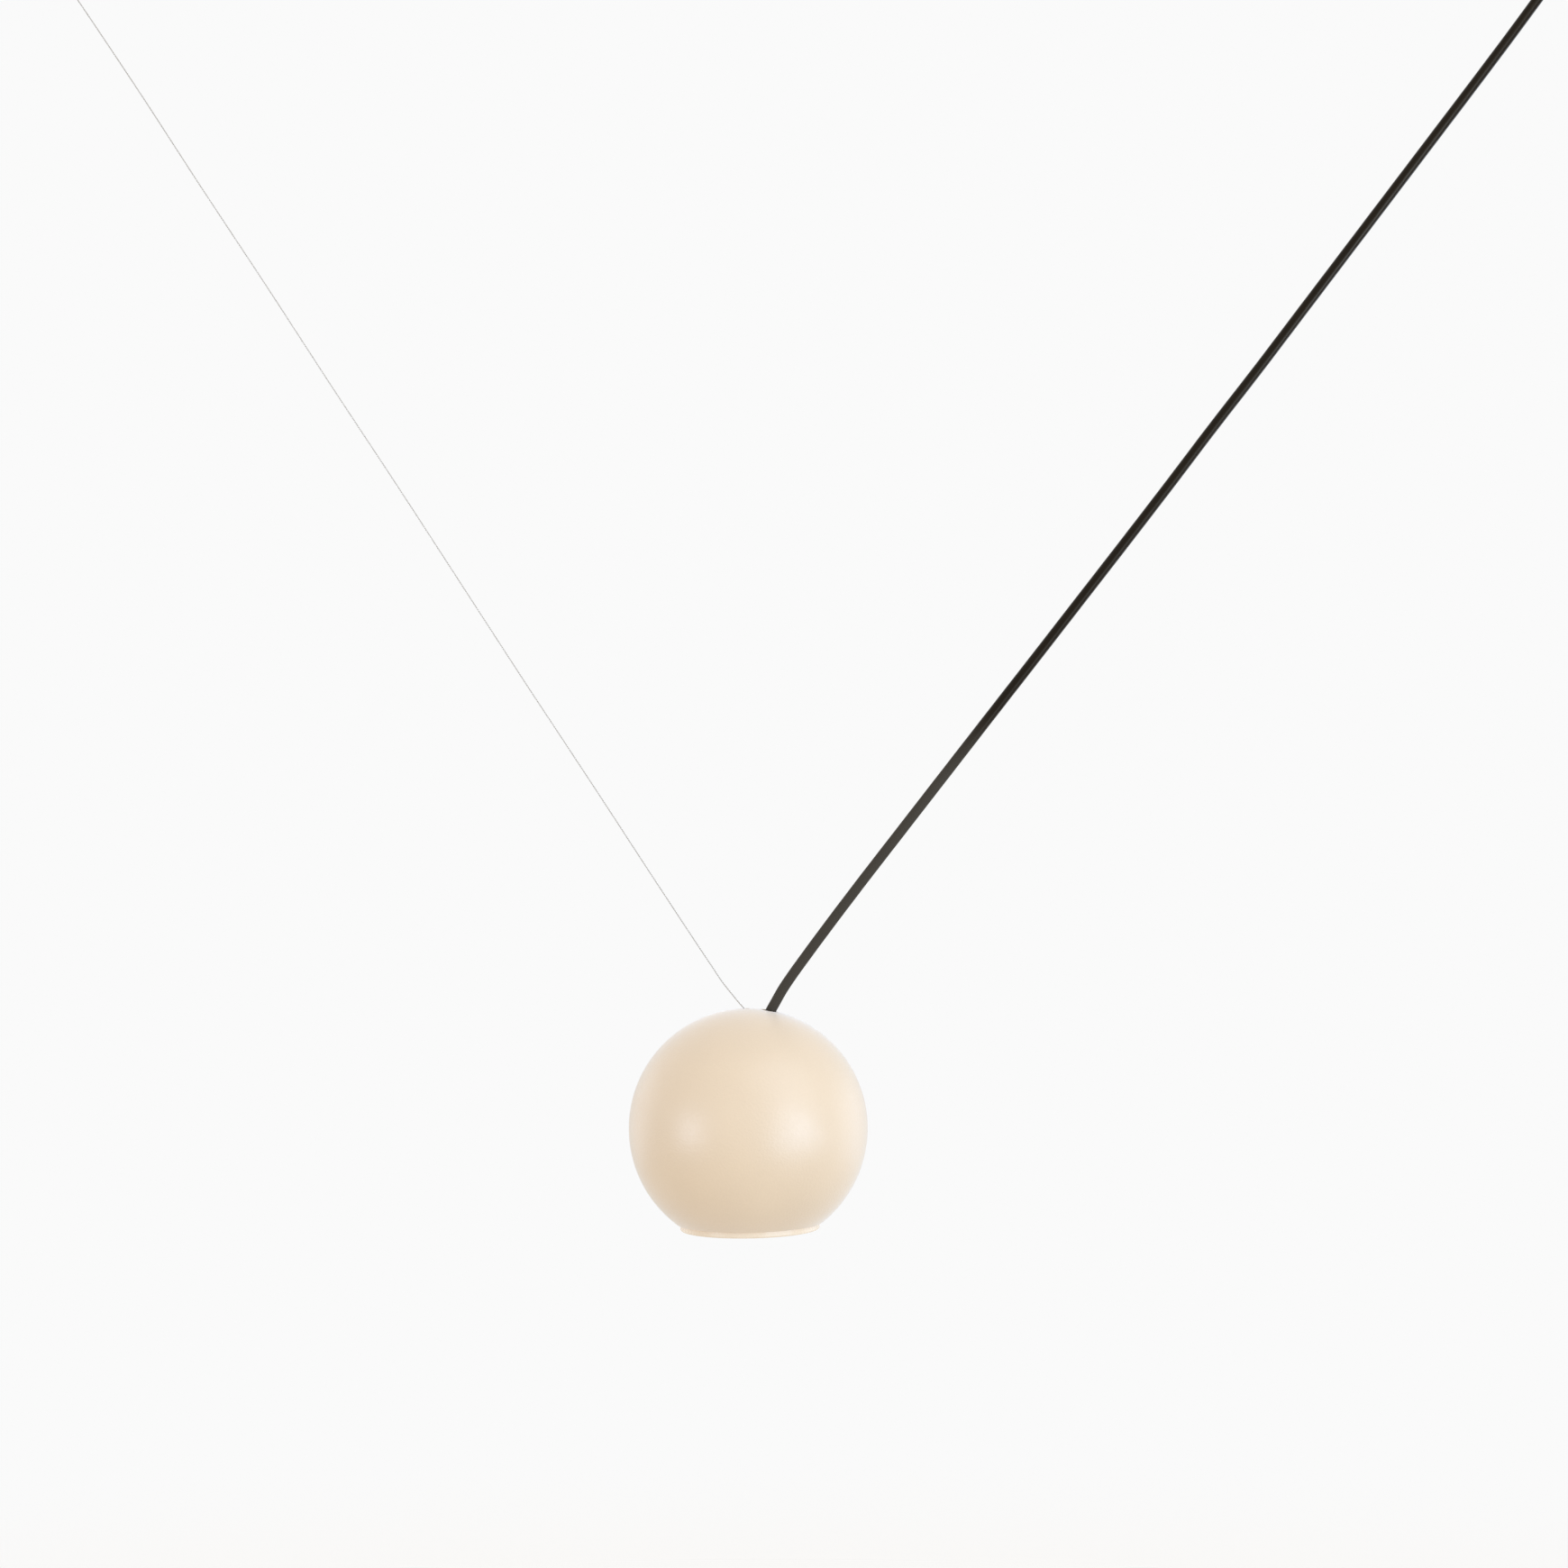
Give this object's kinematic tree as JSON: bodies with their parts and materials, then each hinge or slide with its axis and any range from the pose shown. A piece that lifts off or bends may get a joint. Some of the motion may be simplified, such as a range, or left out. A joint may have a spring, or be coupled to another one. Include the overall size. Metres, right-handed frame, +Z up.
{
  "type": "globe pendant light",
  "caption": "Small painted globe pendant on a steel wire, drawn aside by its black supply cable, with a ceiling rose, a wire anchor and a lamp behind a screw-in rim ring.",
  "frame": {"origin": "centre of the ceiling rose, on the ceiling face of its plate, midway between its two screw holes", "axes": "+Z up into the ceiling, +X from the wire anchor towards the rose, +Y away from the viewer of the picture"},
  "size_m": [0.8545, 0.12, 0.6863],
  "materials": {
    "globe_paint": "satin cream paint with a fine grain",
    "rim_paint": "glossier cream paint",
    "baffle_paint": "matte cream paint inside the mouth",
    "rose_paint": "satin cream paint",
    "cable_jacket": "satin black extruded jacket",
    "black_plastic": "moulded black nylon",
    "black_rubber": "soft black rubber",
    "wire_steel": "drawn steel wire",
    "zinc_steel": "zinc plated steel",
    "screw_steel": "plain steel",
    "satin_nickel": "satin nickel plate",
    "brass": "turned brass",
    "white_nylon": "moulded white nylon",
    "holder_ceramic": "white ceramic",
    "lamp_white": "white moulded lamp housing",
    "lamp_board": "white board with yellow emitters",
    "lamp_lens": "clear moulded lens",
    "lead_brown": "brown core insulation",
    "lead_blue": "blue core insulation",
    "lead_green": "green and yellow core insulation"
  },
  "bodies": {
    "ceiling": {"rose_plate": "zinc_steel", "rose_cover": "rose_paint", "rose_cover_screws": "screw_steel", "outlet_socket": "rose_paint", "socket_nut": "zinc_steel", "terminal_block": "white_nylon", "terminal_inserts": "brass", "terminal_screws": "screw_steel", "block_screws": "screw_steel", "rose_live_lead": "lead_brown", "rose_neutral_lead": "lead_blue", "rose_earth_lead": "lead_green", "anchor_base": "zinc_steel", "anchor_cup": "satin_nickel"},
    "pendant": {"outlet_ball": "black_plastic", "gland_seal": "black_rubber", "bend_sleeve": "black_plastic", "power_cable": "cable_jacket", "swivel_ball": "satin_nickel", "gripper_body": "satin_nickel", "gripper_spring": "screw_steel", "suspension_wire": "wire_steel", "wire_ferrule": "zinc_steel", "globe_shell": "globe_paint", "hanger_stud": "zinc_steel", "stud_washer": "zinc_steel", "stud_nut": "zinc_steel", "lamp_yoke": "zinc_steel", "cord_grip": "white_nylon", "cord_grip_screw": "screw_steel", "head_live_lead": "lead_brown", "head_neutral_lead": "lead_blue", "head_earth_lead": "lead_green", "earth_screw": "brass", "lamp_holder": "holder_ceramic", "holder_contacts": "brass", "holder_screws": "screw_steel"},
    "plunger": {"gripper_plunger": "satin_nickel", "gripper_balls": "screw_steel"},
    "lamp": {"lamp_cap": "lamp_white", "lamp_pins": "satin_nickel", "lamp_body": "lamp_white", "lamp_board": "lamp_board", "lamp_lens": "lamp_lens"},
    "baffle_insert": {"baffle": "baffle_paint"},
    "rim": {"rim_ring": "rim_paint"}
  },
  "joints": [
    {"name": "swing", "type": "hinge", "parent": "ceiling", "child": "pendant", "pos_m": [0, 0, -0.024], "axis": [1, 0, 0], "range_deg": [-25, 25], "deforming": ["rose_live_lead", "rose_neutral_lead", "rose_earth_lead"]},
    {"name": "gripper_release", "type": "slide", "parent": "pendant", "child": "plunger", "axis": [-0.5476, 0, 0.8368], "range_m": [0, 0.003], "stiffness_N_per_m": 300, "springref_m": -0.003, "deforming": ["gripper_spring"]},
    {"name": "lamp_twist", "type": "hinge", "parent": "pendant", "child": "lamp", "pos_m": [-0.43, 0, -0.635], "axis": [0.0175, 0, -0.9998], "range_deg": [0, 16]},
    {"name": "baffle_drop", "type": "slide", "parent": "pendant", "child": "baffle_insert", "axis": [0.0175, 0, -0.9998], "range_m": [0, 0.00451]},
    {"name": "ring_turn", "type": "hinge", "parent": "baffle_insert", "child": "rim", "pos_m": [-0.43, 0, -0.635], "axis": [0.0175, 0, -0.9998], "range_deg": [0, 1080]}
  ],
  "couplings": [
    {"joint": "baffle_drop", "follows": "ring_turn", "m_per_rad": 0.00023873}
  ]
}
